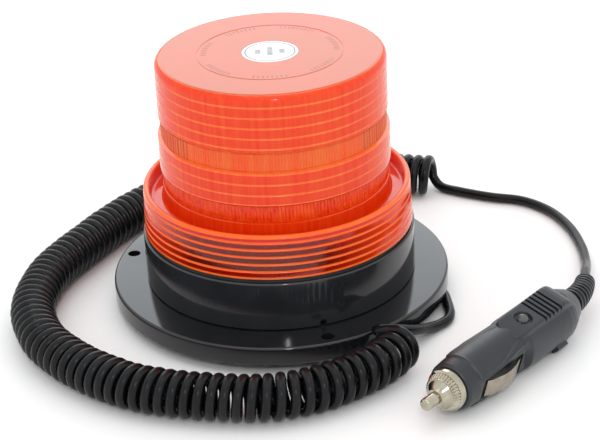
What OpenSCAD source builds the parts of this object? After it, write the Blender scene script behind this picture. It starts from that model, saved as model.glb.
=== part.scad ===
// Amber LED warning beacon on a magnetic base, with a curly cord and a 12 V lighter plug.
// Millimetres. +Z up. The origin is on the floor, on the beacon's own axis.

/* [Magnetic base] */
// Outside diameter of the base disc
base_d = 145; // [136:1:175]
// Thickness of the base disc
base_t = 8; // [6:0.5:10]
// Radius of the base disc's top edge
base_edge = 1.2; // [0.4:0.1:2]
// Room for the cord between its own thickness and the disc's underside
cord_room = 0.4; // [0.3:0.1:1.5]
// Outside diameter of the rubber magnet foot
foot_d = 120; // [110:1:124]
// Rubber under and around the magnet
foot_wall = 1.4; // [1:0.1:2]
// Thickness of the steel pole plate
pole_t = 1.6; // [1:0.1:2.5]
// How far each mounting hole lies in from the disc's edge
hole_in = 5.5; // [5:0.1:6.5]
// Diameter of each mounting hole
hole_d = 5.5; // [4:0.5:7]
// Direction of the first mounting hole
hole_turn = 165; // [155:1:175]

/* [Twist fitting] */
// Room between the spigot that the head turns on and the housing's wall
spigot_in = 3.7; // [3.4:0.1:5]
// Height of the spigot above the disc
spigot_h = 5.4; // [5:0.1:6.5]
// How far each bayonet lug stands out of the spigot
lug_out = 2.4; // [1.5:0.1:2.8]
// Width of each bayonet lug, as an angle
lug_span = 20; // [12:1:24]
// How far the head turns to come free
twist = 30; // [24:1:32]
// Radial running clearance of the head on the spigot
run_gap = 0.06; // [0.02:0.01:0.1]

/* [Housing] */
// Outside diameter of the black housing
housing_d = 116.4; // [104:0.2:124]
// Height of the housing
housing_h = 21.3; // [20:0.1:30]
// Wall of the housing
housing_wall = 2.5; // [2:0.1:3]
// Gap between the housing and the disc
housing_gap = 0.3; // [0.2:0.1:0.6]
// Height of the seal between the housing and the lens
seal_h = 1.5; // [1:0.1:2.5]
// How far the lens screws stand in from the housing's wall
boss_in = 5.5; // [5.2:0.1:6]

/* [Lens] */
// How far the lens collar's foot is set in from the housing
collar_in_step = 0.7; // [0:0.1:1.5]
// How far the collar leans in from its foot to its rim
collar_lean = 0.7; // [0:0.1:2]
// Height of the collar
collar_h = 19.3; // [16:0.1:24]
// Wall of the collar
collar_wall = 2.6; // [2:0.1:3]
// Depth of the moat between the collar and the dome
moat_h = 6; // [4:0.5:9]
// Width of the moat
moat_w = 6.1; // [4.5:0.1:7]
// Extra diameter of the dome's middle tier
tier_step = 1.4; // [0.4:0.1:2]
// How far the fluted bands are set in
band_in = 0.7; // [0.3:0.1:1]
// Height of the dome above the collar's foot
dome_h = 76.1; // [70:0.5:90]
// Wall of the dome
dome_wall = 2.4; // [1.8:0.1:3]
// Radius of the dome's top edge
dome_edge = 3; // [2:0.5:5]
// Depth of the prism grooves
groove_in = 0.4; // [0.2:0.05:0.6]
// Diameter of the round rating label
label_d = 23.5; // [18:0.5:30]

/* [Light source] */
// Distance across the corners of the LED tower
tower_d = 38; // [30:1:44]
// Room between the top LEDs and the dome
tower_room = 6; // [3:0.5:20]
// Thickness of the LED boards
board_t = 1.2; // [0.8:0.1:2]
// LEDs up each side of the tower
led_rows = 4; // [2:1:5]
// Width of one LED package
led_w = 5; // [3:0.5:6]

/* [Cord] */
// Diameter of the cord
cord_d = 4.4; // [4:0.1:5]
// Outside diameter of the coil
coil_d = 19.4; // [16:0.2:22]

/* [Plug] */
// Diameter of the plug's nose
nose_d = 21.8; // [20:0.1:22]
// How far the plug's grip stands out from its nose
grip_out = 0.7; // [0.2:0.1:2]
// Length of the plug from its pin's tip to its shoulder
plug_len = 97; // [90:1:105]
// Diameter of the centre pin
pin_d = 5.2; // [4:0.1:6]
// How far the centre pin stands out
pin_out = 6.7; // [5:0.1:8]
// How far the metal nose cap is set in from the nose
cap_in = 2.3; // [1.5:0.1:2.4]
// Width of the side contacts
leaf_w = 8; // [6:0.5:8.4]
// Diameter of the cable boot at the plug
boot_d = 11.8; // [10:0.1:12]
// Diameter of the cable boot at its end
boot_end_d = 8.2; // [6:0.1:9]
// Length of the cable boot
boot_len = 29.5; // [24:0.5:36]

/* [Hidden] */
$fn = 96;

cut = 1;              // how far a cutting solid runs past what it cuts
fit = 0.3;            // clearance between pieces that only lie against each other
thirds = [0, 120, 240];

// heights in the base
foot_h = cord_d + cord_room;
disc_z = foot_h;
disc_top = disc_z + base_t;
spigot_top = disc_top + spigot_h;
housing_in = housing_d / 2 - housing_wall;
spigot_r = housing_in - spigot_in;
spigot_wall = 6;
lug_h = 2;
lug_gap = 0.2;
lug_top = spigot_top - 0.4;
flange_t = 2.4;
flange_top = lug_top - lug_h - lug_gap;
lug_turn = 15;        // where the first lug stands
magnet_clear = 0.2;
magnet_r = foot_d / 2 - foot_wall - 2.8;
pole_r = magnet_r + 0.7;
base_screw_r = 30;
hole_r = base_d / 2 - hole_in;   // circle of the mounting holes
m4 = 4;

// heights in the head
housing_z = disc_top + housing_gap;
housing_top = housing_z + housing_h;
floor_t = 2;
floor_z = spigot_top + 1.8;
floor_top = floor_z + floor_t;
lens_z = housing_top + seal_h;
boss_r = housing_in - boss_in;
boss_d = 8;
boss_turn = 30;
plate_t = 2;
plate_top = lens_z + plate_t;
m3 = 3;
m3_head = 5.5;
lock_turn = 286;
lock_z = (flange_top + flange_top - flange_t) / 2;

// lens profile
collar_r = housing_d / 2 - collar_in_step;
collar_top_r = collar_r - collar_lean;
collar_top = lens_z + collar_h;
collar_in = collar_top_r - collar_wall;
moat_z = collar_top - moat_h;
moat_under = moat_z - dome_wall;
dome_r = collar_in - moat_w;
tier_r = dome_r + tier_step / 2;
band_r = dome_r - band_in;
lens_top = lens_z + dome_h;
// the dome's side from its top down: rings, fluted band, rings, fluted band, plain foot
tier_shares = [0.387, 0.145, 0.22, 0.135];
tier_ends = [for (i = [0:3]) (lens_top - moat_z) * sum([for (j = [0:i]) tier_shares[j]])];
upper_band = [lens_top - tier_ends[0], lens_top - tier_ends[1]];
tier_low = lens_top - tier_ends[2];
foot_band = lens_top - tier_ends[3];
upper_pitch = tier_ends[0] / 5.46;
middle_pitch = (upper_band[1] - tier_low) / 3;
collar_pitch = collar_h / 6.03;
upper_rings = [for (i = [0:4]) lens_top - upper_pitch * (i + 1.1)];
middle_rings = [for (i = [1:2]) upper_band[1] - middle_pitch * i];
collar_rings = [for (i = [0:4]) collar_top - collar_pitch * (i + 0.9)];
ring_w = 0.9;
inner_r = band_r - dome_wall;
label_t = 0.2;
ring_r = 0.63 * dome_r;

// light source and driver
tower_wall = 3;
tower_flat = tower_d / 2 * cos(30);
cap_t = 1.6;
led_t = 1.6;
led_dome = 0.5;       // how far an LED's round face stands out of its package
tower_h = dome_h - plate_t - cap_t - led_t - led_dome - tower_room - dome_wall;
tower_top = plate_top + tower_h;
led_board_w = 16;
led_board_h = tower_h - 4;
control_r = housing_in - 11.7;
control_t = 1.6;
standoff_h = 4;
control_z = floor_top + standoff_h;
control_top = control_z + control_t;
standoff_r = control_r - 8;
standoff_d = 6;
cord_hole = 10;

// plug, along its own +X from the pin's tip
plug_x = 51.4;
plug_y = -119.1;
plug_heading = 47.4;
plug_roll = 15;
nose_r = nose_d / 2;
grip_r = nose_r + grip_out;
plug_z = grip_r + 0.05;
cap_r = nose_r - cap_in;
cap_x = pin_out;
cap_end = 16;
thread_r = 6;
thread_end = 22;
step_x = 22.3;
grip_x = 57;
shoulder_x = 84;
rear_r = boot_d / 2 + 1.3;
cavity_r = nose_r - 2.3;
cavity_x = 24;
cavity_end = 88;
slot_x = [28, 54.5];
leaf_x = [29.5, 51.5];
leaf_t = 0.6;
leaf_rise = 2.6;
leaf_peak = nose_r + 1.2;
leaf_half = (leaf_x[1] - leaf_x[0]) / 2;
leaf_bend = (leaf_half * leaf_half + leaf_rise * leaf_rise) / (2 * leaf_rise);
leaf_mid = (leaf_x[0] + leaf_x[1]) / 2;
side_flat = nose_r - 1.6;
fuse_r = 3;
fuse_x = [22.5, 52.5];
fuse_cap_len = 6;
carrier_r = cavity_r - 0.3;
carrier_flat = nose_r - 3.6;
pin_run = 0.05;
pin_travel = 3;
pin_flange_x = [9, 11];
pad_x = [52.5, 90];
pad_w = 13.6;
pad_z = grip_r + 0.8;
indicator_x = 61;
indicator_r = 2.5;
indicator_board_w = 7;
indicator_board_t = 1.2;
indicator_board_top = sqrt(pow(cavity_r, 2) - pow(indicator_board_w / 2, 2)) - fit;
shell_screw_x = 74;
shell_screw_in = 2.6; // how deep the shell screw's head is sunk
boot_turn = 36;       // how far the boot bends to the left
boot_drop = 1.7;      // how far it comes down
boot_rings = 9;
boot_shell_r = boot_d / 2 + 0.05;

// cord routes: points on the cord's centre line
lead_z = cord_d / 2 + 0.05;
coil_z = coil_d / 2 + 0.05;
base_route = [
  [43, -51, lead_z], [52, -39, lead_z], [60, -28, lead_z], [62.5, -21.5, lead_z],
  [62.8, -16, lead_z], [65.2, -13, lead_z], [67.6, -15.5, lead_z], [68.6, -21.5, lead_z],
  [69.8, -27, lead_z], [70.2, -33, lead_z], [68.8, -38, lead_z], [64.5, -42.5, 2.6],
  [59.5, -47.5, 4.2], [54.5, -53.5, 7.2], [50, -58.5, 10.2], [45.5, -62, 13],
  [41.5, -64, 14.6], [40.6, -66.3, 15.2], [43, -68.3, 16]
];
coil_route = [
  [46, -70.5], [41.5, -77.5], [35.5, -84], [24.5, -92.5], [9.5, -100.5], [-8, -104], [-26, -102],
  [-44, -97.5], [-59, -91.5], [-69.5, -84.5], [-80, -75.5], [-90.5, -63.5], [-100, -48],
  [-106, -25], [-104, -2], [-98.5, 15], [-87.5, 35], [-75, 55.5], [-60, 74], [-40, 89],
  [-15, 98.5], [12, 101.5], [40, 97.5], [63, 91], [74, 88.5]
];
plug_route = [
  [74, 91, 3.2], [79, 90.5, lead_z], [87.5, 84, lead_z], [101, 76.5, lead_z],
  [115.5, 70.5, lead_z], [126.5, 58, lead_z], [132.8, 40.5, lead_z], [135, 21, lead_z],
  [134.2, 6, 3.4], [132.6, -4, 5.6], [130.8, -13, 8.4]
];

function boot_heading(s) = plug_heading + boot_turn * s / boot_len;
function boot_steps(s) = ceil(s / 0.5);
function boot_at(s) = let(n = max(1, boot_steps(s)), d = s / n) [
  plug_x + plug_len * cos(plug_heading) + d * sum([for (i = [0:n - 1]) cos(boot_heading((i + 0.5) * d))]),
  plug_y + plug_len * sin(plug_heading) + d * sum([for (i = [0:n - 1]) sin(boot_heading((i + 0.5) * d))]),
  plug_z - boot_drop * s / boot_len
];
function sum(v, i = 0) = i < len(v) ? v[i] + sum(v, i + 1) : 0;

// a smooth curve through points: the stretch from b to c, at u from 0 to 1
function smooth(a, b, c, d, u) =
  b + 0.5 * u * (c - a + u * (2 * a - 5 * b + 4 * c - d + u * (3 * (b - c) + d - a)));
function route_at(p, k, u) = let(n = len(p) - 1)
  smooth(p[max(k - 1, 0)], p[k], p[k + 1], p[min(k + 2, n)], u);
function along(p, steps) = concat(
  [for (k = [0:len(p) - 2]) for (j = [0:steps - 1]) route_at(p, k, j / steps)], [p[len(p) - 1]]);
function unit(v) = v / norm(v);
function heading_at(q, i) = let(n = len(q) - 1) unit(q[min(i + 1, n)] - q[max(i - 1, 0)]);

// a tube of radius r along the points q, closed at both ends
module tube(q, r, sides) {
  rings = len(q);
  points = [for (i = [0:rings - 1])
    let(t = heading_at(q, i), s = unit(cross(t, [0, 0, 1])), u = cross(s, t))
    for (j = [0:sides - 1]) let(a = 360 * (j + 0.5) / sides) q[i] + r * (cos(a) * s + sin(a) * u)];
  walls = [for (i = [0:rings - 2]) for (j = [0:sides - 1])
    let(a = i * sides + j, b = i * sides + (j + 1) % sides) [a + sides, b + sides, b, a]];
  ends = [[for (j = [0:sides - 1]) j], [for (j = [sides - 1:-1:0]) (rings - 1) * sides + j]];
  polyhedron(points, concat(walls, ends));
}

// a flat ring standing on the plane z
module ring(outer, inner, z, h) {
  translate([0, 0, z]) difference() {
    cylinder(h = h, r = outer);
    translate([0, 0, -cut]) cylinder(h = h + 2 * cut, r = inner);
  }
}

// part of a ring, centred on the direction turn
module sector(outer, inner, z, h, turn, span) {
  rotate([0, 0, turn - span / 2]) rotate_extrude(angle = span)
    translate([inner, z]) square([outer - inner, h]);
}

// children at the same radius in three directions
module round_three(r, turn) {
  for (t = thirds) rotate([0, 0, turn + t]) translate([r, 0, 0]) children();
}

// ---- magnetic base ----

module base_disc() {
  r = base_d / 2;
  e = base_edge;
  color("#1a1b1d") difference() {
    union() {
      rotate_extrude() polygon(concat(
        [[0, disc_z], [r - 0.5, disc_z], [r, disc_z + 0.5]],
        [for (a = [0:15:90]) [r - e + e * cos(a), disc_top - e + e * sin(a)]],
        [[0, disc_top]]));
      ring(spigot_r, spigot_r - spigot_wall, disc_top - cut, spigot_h + cut);
      for (t = thirds) sector(spigot_r + lug_out, spigot_r - cut, lug_top - lug_h, lug_h,
        lug_turn + t, lug_span);
    }
    translate([0, 0, disc_z - cut]) cylinder(h = pole_t + cut, r = pole_r + 0.1);
    round_three(hole_r, hole_turn) translate([0, 0, disc_z - cut])
      cylinder(h = base_t + 2 * cut, d = hole_d);
    round_three(base_screw_r, 0) translate([0, 0, disc_z]) cylinder(h = base_t + cut, d = m4 + 0.2);
    translate([0, 0, disc_z]) cylinder(h = base_t + cut, d = cord_hole);
  }
}

module foot_pad() {
  color("#202124") difference() {
    cylinder(h = foot_h, d = foot_d);
    translate([0, 0, foot_wall]) cylinder(h = foot_h, r = magnet_r + magnet_clear);
  }
}

module ring_magnet() {
  color("#55565a") ring(magnet_r, cord_hole / 2 + 1, foot_wall, foot_h - foot_wall - 0.1);
}

module pole_plate() {
  color("#8f9296") difference() {
    translate([0, 0, disc_z]) cylinder(h = pole_t, r = pole_r);
    translate([0, 0, disc_z - cut]) cylinder(h = pole_t + 2 * cut, d = cord_hole);
    round_three(base_screw_r, 0) translate([0, 0, disc_z - cut])
      cylinder(h = pole_t + 2 * cut, d = m4 + 0.2);
  }
}

module base_screws() {
  color("#b9bcc0") round_three(base_screw_r, 0) pan_screw(disc_top, m4, 7.5, 2.4, base_t - 0.3);
}

// a pan-head screw whose head stands on the plane z, with its shank below
module pan_screw(z, d, head_d, head_h, length) {
  difference() {
    union() {
      translate([0, 0, z]) cylinder(h = head_h, d = head_d);
      translate([0, 0, z - length]) cylinder(h = length + head_h / 2, d = d);
    }
    for (t = [0, 90]) rotate([0, 0, t]) translate([-head_d * 0.3, -0.4, z + head_h - 1])
      cube([head_d * 0.6, 0.8, 1 + cut]);
  }
}

// rubber block at the side of the foot; the cord leaves from its end face
module cord_grommet() {
  color("#1c1d1f") difference() {
    translate([base_route[0][0], base_route[0][1], 0])
      rotate([0, 0, atan2(base_route[1][1] - base_route[0][1], base_route[1][0] - base_route[0][0])])
      translate([-11, -3.4, 0.1]) linear_extrude(foot_h - 0.2) union() {
        translate([1.5, 0]) square([9.5, 14]);
        translate([0, 1.5]) square([11, 12.5]);
        translate([1.5, 1.5]) circle(r = 1.5);
      }
    translate([0, 0, -cut]) cylinder(h = foot_h + 2 * cut, d = foot_d);
  }
}

// ---- beacon head ----

module housing() {
  r = housing_d / 2;
  e = 0.8;
  color("#17181a") difference() {
    union() {
      rotate_extrude() polygon(concat(
        [[housing_in, housing_z], [r - 0.3, housing_z], [r, housing_z + 0.3]],
        [for (a = [0:15:90]) [r - e + e * cos(a), housing_top - e + e * sin(a)]],
        [[housing_in, housing_top]]));
      ring(housing_in + 0.5, spigot_r + run_gap, flange_top - flange_t, flange_t);
      translate([0, 0, floor_z]) cylinder(h = floor_t, r = housing_in + 0.5);
      round_three(boss_r, boss_turn) translate([0, 0, floor_top - 0.5])
        cylinder(h = lens_z - floor_top + 0.5, d = boss_d);
      for (t = thirds) for (side = [lug_span / 2 + 2, -twist - lug_span / 2 - 2.6])
        sector(housing_in + 0.5, spigot_r + lug_out - 0.9, flange_top - 0.1, lug_h, lug_turn + t + side, 3);
    }
    for (t = thirds) sector(spigot_r + lug_out + 0.3, spigot_r - 2, flange_top - flange_t - cut,
      flange_t + 2 * cut, lug_turn + t - twist, lug_span + 1.6);
    translate([0, 0, floor_z - cut]) cylinder(h = floor_t + 2 * cut, d = cord_hole + 4);
    round_three(boss_r, boss_turn) {
      translate([0, 0, floor_z - cut]) cylinder(h = lens_z, d = m3 + 0.2);
      translate([0, 0, floor_z - cut]) cylinder(h = cut + 3, d = m3_head + 0.6);
    }
    rotate([0, 0, lock_turn]) translate([spigot_r - cut, 0, lock_z]) rotate([0, 90, 0])
      cylinder(h = 10, d = m3);
    round_three(standoff_r, 90) translate([0, 0, floor_z - cut]) cylinder(h = floor_t + 2 * cut, d = m3);
  }
}

// grub screw through the housing wall; its tip bears on the spigot
module locking_screw() {
  tip = spigot_r + fit;
  color("#77797d") rotate([0, 0, lock_turn]) translate([tip, 0, lock_z]) rotate([0, 90, 0])
    difference() {
      cylinder(h = housing_d / 2 - tip - 0.2, d = m3);
      translate([0, 0, housing_d / 2 - tip - 1.7]) cylinder(h = 3, d = 1.6, $fn = 6);
    }
}

module floor_grommet() {
  color("#232427") union() {
    ring(cord_hole / 2 + 2, cord_hole / 2 - 1, floor_z - 1, floor_t + 2);
    ring(cord_hole / 2 + 3.5, cord_hole / 2 - 1, floor_top, 1);
    ring(cord_hole / 2 + 3.5, cord_hole / 2 - 1, floor_z - 1, 1);
  }
}

module lens_seal() {
  color("#0f1011") ring(collar_r - 0.7, boss_r + boss_d / 2 + fit, housing_top, seal_h);
}

module carrier_plate() {
  color("#e8e6e0") difference() {
    translate([0, 0, lens_z]) cylinder(h = plate_t, r = collar_r - collar_wall - 0.6);
    translate([0, 0, lens_z - cut]) cylinder(h = plate_t + 2 * cut, d = 16);
    round_three(boss_r, boss_turn) translate([0, 0, lens_z - cut])
      cylinder(h = plate_t + 2 * cut, d = m3 + 0.2);
    for (t = [0:60:300]) rotate([0, 0, t]) translate([tower_d / 2 + 4, 0, lens_z - cut])
      cylinder(h = plate_t + 2 * cut, d = m3);
  }
}

module lens_screws() {
  color("#b9bcc0") round_three(boss_r, boss_turn) translate([0, 0, floor_z + 2]) mirror([0, 0, 1])
    pan_screw(0, m3, m3_head, 1.8, plate_top + 6 - floor_z - 2);
}

function vee(r, z) = [[r, z + ring_w / 2], [r - groove_in, z], [r, z - ring_w / 2]];
function flatten(v) = [for (a = v) for (b = a) b];
function collar_at(z) = collar_top_r + (collar_r - collar_top_r) * (collar_top - z) / collar_h;
function arc(cx, cz, r, from, to) = [for (i = [0:5]) let(a = from + (to - from) * i / 5)
  [cx + r * cos(a), cz + r * sin(a)]];

module amber_lens() {
  rim = collar_wall / 2;
  edge = dome_edge;
  outline = concat(
    [[0, lens_top - label_t], [label_d / 2 + 0.15, lens_top - label_t],
     [label_d / 2 + 0.15, lens_top]],
    [[ring_r - 0.4, lens_top], [ring_r, lens_top - 0.3], [ring_r + 0.4, lens_top]],
    arc(dome_r - edge, lens_top - edge, edge, 90, 0),
    flatten([for (z = upper_rings) vee(dome_r, z)]),
    [[dome_r, upper_band[0]], [band_r, upper_band[0] - 0.6], [band_r, upper_band[1] + 0.6],
     [tier_r, upper_band[1]]],
    flatten([for (z = middle_rings) vee(tier_r, z)]),
    [[tier_r, tier_low], [dome_r - 0.2, tier_low - 0.6], [dome_r - 0.2, foot_band],
     [dome_r, foot_band - 0.5]],
    arc(dome_r + 1.5, moat_z + 1.5, 1.5, 180, 270),
    arc(collar_in - 1.5, moat_z + 1.5, 1.5, 270, 360),
    arc(collar_in + rim, collar_top - rim, rim, 180, 90),
    arc(collar_top_r - rim, collar_top - rim, rim, 90, 0),
    flatten([for (z = collar_rings) vee(collar_at(z), z)]),
    [[collar_r, lens_z], [collar_r - collar_wall, lens_z], [collar_r - collar_wall, moat_under],
     [inner_r, moat_under], [inner_r, lens_top - dome_wall], [0, lens_top - dome_wall]]);
  color("#f0521e") difference() {
    union() {
      rotate_extrude() polygon(outline);
      round_three(boss_r, boss_turn) translate([0, 0, plate_top])
        cylinder(h = moat_under + 0.5 - plate_top, d = boss_d - 0.4);
    }
    round_three(boss_r, boss_turn) translate([0, 0, plate_top - cut])
      cylinder(h = moat_under - plate_top, d = m3);
  }
}

module rating_label() {
  color("#f6f5f2") translate([0, 0, lens_top - label_t]) cylinder(h = label_t, d = label_d);
}

// ---- light source ----

module led_tower() {
  color("#c9cccf") difference() {
    translate([0, 0, plate_top]) cylinder(h = tower_h, d = tower_d, $fn = 6);
    translate([0, 0, plate_top - cut])
      cylinder(h = tower_h + 2 * cut, d = tower_d - 2 * tower_wall - 2, $fn = 6);
  }
}

// children on each of the six faces: +X outward, standing on the carrier plate
module on_faces() {
  for (t = [30:60:330]) rotate([0, 0, t]) translate([tower_flat, 0, plate_top]) children();
}

module led_boards() {
  color("#f2f1ec") on_faces() translate([0, -led_board_w / 2, 2])
    cube([board_t, led_board_w, led_board_h]);
}

module side_leds() {
  pitch = led_board_h / led_rows;
  color("#ffe9a8") on_faces() for (i = [0:led_rows - 1])
    translate([board_t, 0, 2 + pitch * (i + 0.5)]) union() {
      translate([0, -led_w / 2, -led_w / 2]) cube([led_t, led_w, led_w]);
      translate([led_t - 0.4, 0, 0]) rotate([0, 90, 0]) cylinder(h = led_dome + 0.4, d = led_w * 0.7);
    }
}

module tower_cap() {
  color("#f2f1ec") difference() {
    translate([0, 0, tower_top]) cylinder(h = cap_t, d = tower_d, $fn = 6);
    for (t = [0, 180]) rotate([0, 0, t]) translate([tower_d / 2 - 3.2, 0, tower_top - cut])
      cylinder(h = cap_t + 2 * cut, d = 2);
  }
}

module top_leds() {
  color("#ffe9a8") for (t = [45:90:315]) rotate([0, 0, t]) translate([8, 0, tower_top + cap_t]) union() {
    translate([-led_w / 2, -led_w / 2, 0]) cube([led_w, led_w, led_t]);
    cylinder(h = led_t + led_dome, d = led_w * 0.7);
  }
}

module tower_screws() {
  color("#b9bcc0") for (t = [0:60:300]) rotate([0, 0, t]) translate([tower_d / 2 + 4, 0, 0])
    pan_screw(plate_top, m3, m3_head, 1.8, plate_t + 1);
}

// ---- driver ----

module control_board() {
  color("#1f5b3a") difference() {
    translate([0, 0, control_z]) cylinder(h = control_t, r = control_r);
    translate([0, 0, control_z - cut]) cylinder(h = control_t + 2 * cut, d = 14);
    round_three(standoff_r, 90) translate([0, 0, control_z - cut])
      cylinder(h = control_t + 2 * cut, d = m3);
  }
}

module standoffs() {
  color("#c8a24a") round_three(standoff_r, 90) difference() {
    translate([0, 0, floor_top]) cylinder(h = standoff_h, d = standoff_d);
    translate([0, 0, floor_top - cut]) cylinder(h = standoff_h + 2 * cut, d = m3);
  }
}

module board_screws() {
  color("#b9bcc0") round_three(standoff_r, 90)
    pan_screw(control_top, m3, m3_head, 1.8, control_t + standoff_h + 1);
}

module capacitors() {
  color("#2a3350") for (p = [[-24, 8], [-24, -8], [-16, 0]])
    translate([control_r + p[0], p[1], control_top])
    difference() {
      cylinder(h = 6, d = 6.3);
      translate([0, 0, 0.9]) ring(4, 2.95, 0, 0.5);
    }
}

module inductor() {
  color("#8a3d1c") translate([22 - control_r, 6, 0]) union() {
    ring(7, 3, control_top, 5);
    for (t = [0:30:330]) rotate([0, 0, t]) translate([6.2, 0, control_top + 0.4]) cylinder(h = 5, d = 2);
  }
}

module transistors() {
  color("#202225") for (i = [0:3]) translate([-9 + 7 * i, standoff_r - 14, control_top]) union() {
    cube([5, 6, 2.2]);
    translate([0.5, 6, 0]) cube([4, 2.4, 0.8]);
  }
}

module driver_chips() {
  color("#202225") for (p = [[-6, -4, 10, 6], [10, -2, 5, 5], [20 - control_r, 8, 6, 8]])
    translate([p[0], p[1] - control_r / 2, control_top]) cube([p[2], p[3], 1.6]);
}

module terminal_block() {
  color("#2f7d4c") translate([6 - control_r, -8, control_top]) difference() {
    cube([8, 14, 6.5]);
    for (y = [3.5, 10.5]) translate([4, y, 3]) cylinder(h = 5, d = 3.2);
  }
}

// ---- cord ----

module lead_base() {
  color("#2b2d30") tube(along(base_route, 2), cord_d / 2, 8);
}

module cord_coil() {
  q = [for (p = along(coil_route, 1)) [p[0], p[1], coil_z]];
  color("#2b2d30") tube(q, coil_d / 2, 12);
}

module lead_plug() {
  color("#2b2d30") tube(along(concat(plug_route, [boot_at(boot_len)]), 2), cord_d / 2, 8);
}

// ---- plug ----

module on_plug() {
  translate([plug_x, plug_y, plug_z]) rotate([0, 0, plug_heading]) rotate([plug_roll, 0, 0]) children();
}

// a solid of revolution about the plug's axis, from [x, radius] pairs
module turned(outline) {
  rotate([0, 90, 0]) rotate_extrude() polygon([for (p = outline) [p[1], p[0]]]);
}

module plug_body() {
  difference() {
    union() {
      turned([[cap_end, 0], [cap_end, nose_r - 1.6], [cap_end + 1.2, nose_r - 0.5], [step_x, nose_r - 0.5],
        [step_x + 0.6, nose_r], [step_x + 30, nose_r], [grip_x, grip_r], [shoulder_x, grip_r],
        [shoulder_x + 5, grip_r - 1], [plug_len - 3, rear_r + 1], [plug_len, rear_r], [plug_len, 0]]);
      thumb_pad();
      side_key();
    }
    turned([[cap_end - cut, 0], [cap_end - cut, thread_r], [thread_end, thread_r], [cavity_x, cavity_r],
      [cavity_end - 2, cavity_r], [cavity_end, boot_shell_r], [plug_len + cut, boot_shell_r],
      [plug_len + cut, 0]]);
    for (side = [1, -1]) scale_side(side) {
      translate([slot_x[0], cavity_r - 2, -leaf_w / 2 - fit])
        cube([slot_x[1] - slot_x[0], 8, leaf_w + 2 * fit]);
      translate([step_x, side_flat, -6.5]) cube([grip_x - step_x - 1.5, 5, 13]);
    }
    translate([indicator_x, 0, pad_z - 1.2]) cylinder(h = 3, r = indicator_r + 1.1);
    translate([indicator_x, 0, 0]) cylinder(h = pad_z, r = indicator_r + 0.05);
    for (i = [0:4]) translate([67.5 + 2.6 * i, -pad_w / 2 - cut, pad_z - 1]) cube([1.2, pad_w + 2 * cut, 3]);
    translate([shell_screw_x, 0, -grip_r - cut]) cylinder(h = 12, d = m3);
    translate([shell_screw_x, 0, -grip_r - cut]) cylinder(h = cut + shell_screw_in, d = m3_head);
  }
}

// mirrors children to the left (1) or the right (-1) of the plug
module scale_side(side) {
  mirror([0, side < 0 ? 1 : 0, 0]) children();
}

module thumb_pad() {
  r = 2.5;
  w = pad_w / 2;
  intersection() {
    union() {
      translate([0, 0, 4]) linear_extrude(pad_z - 4) union() {
        translate([pad_x[0] + r, -w]) square([pad_x[1] - pad_x[0] - 2 * r, pad_w]);
        translate([pad_x[0], -w + r]) square([pad_x[1] - pad_x[0], pad_w - 2 * r]);
        for (x = [pad_x[0] + r, pad_x[1] - r]) for (y = [-w + r, w - r]) translate([x, y]) circle(r = r);
      }
      translate([shoulder_x, w, pad_z - 11]) rotate([90, 0, 0]) cylinder(h = pad_w, r = 12.2);
    }
    translate([pad_x[0] - cut, -w - cut, 3]) cube([pad_x[1] - pad_x[0] + 2 * cut, pad_w + 2 * cut, 20]);
  }
}

// small moulded key low on the plug's right side
module side_key() {
  rotate([125, 0, 0]) translate([77, -2, grip_r - 2]) union() {
    cube([6, 4, 3.6]);
    translate([6, 2, 0]) cylinder(h = 3.6, r = 2);
  }
}

module plug_shell_upper() {
  color("#2a2e32") on_plug() intersection() {
    plug_body();
    translate([0, -20, 0]) cube([120, 40, 20]);
  }
}

module plug_shell_lower() {
  color("#2a2e32") on_plug() intersection() {
    plug_body();
    translate([0, -20, -20]) cube([120, 40, 20]);
  }
}

module plug_screw() {
  color("#b9bcc0") on_plug() translate([shell_screw_x, 0, -grip_r + shell_screw_in]) mirror([0, 0, 1])
    pan_screw(0, m3, m3_head - 0.1, 1.8, 7);
}

module contact_carrier() {
  color("#3a3d40") on_plug() difference() {
    turned([[cavity_x + 0.6, 0], [cavity_x + 0.6, carrier_r], [56, carrier_r], [56, 0]]);
    turned([[cavity_x - cut, 0], [cavity_x - cut, fuse_r + 0.1], [fuse_x[1], fuse_r + 0.1], [fuse_x[1], 0]]);
    for (side = [1, -1]) scale_side(side) translate([20, carrier_flat, -20]) cube([40, 10, 40]);
  }
}

module fuse_tube() {
  turned([[fuse_x[0] + 2, 0], [fuse_x[0] + 2, fuse_r - 0.4], [fuse_x[1] - 2, fuse_r - 0.4],
    [fuse_x[1] - 2, 0]]);
}

module fuse_glass() {
  color("#dfe6e6") on_plug() fuse_tube();
}

module fuse_caps() {
  color("#c9cccf") on_plug() for (x = [fuse_x[0], fuse_x[1] - fuse_cap_len]) difference() {
    turned([[x, 0], [x, fuse_r], [x + fuse_cap_len, fuse_r], [x + fuse_cap_len, 0]]);
    fuse_tube();
  }
}

// the spring is drawn as the sleeve that it fills when the pin is pushed in
module pin_spring() {
  x = [pin_flange_x[1] + pin_travel + fit, fuse_x[0]];
  color("#9da0a3") on_plug() difference() {
    turned([[x[0], 0], [x[0], 3.4], [x[1], 3.4], [x[1], 0]]);
    turned([[x[0] - cut, 0], [x[0] - cut, 2.4], [x[1] + cut, 2.4], [x[1] + cut, 0]]);
  }
}

module nose_cap() {
  bore = pin_d / 2 + pin_run;
  color("#c8c4b4") on_plug() difference() {
    turned([[cap_x, bore - 1], [cap_x, bore + 0.9], [cap_x + 0.6, bore + 1.2], [11.3, 6.9], [11.6, 7.4],
      [13, 7.4], [13.3, cap_r - 0.5], [13.7, cap_r], [cap_end - 0.4, cap_r], [cap_end, cap_r - 0.3],
      [cap_end, thread_r - 0.08], [thread_end - 0.2, thread_r - 0.08], [thread_end - 0.2, bore - 1]]);
    turned([[cap_x - cut, 0], [cap_x - cut, bore], [pin_flange_x[0], bore], [pin_flange_x[0], 4.2],
      [thread_end, 4.2], [thread_end, 0]]);
  }
}

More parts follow.
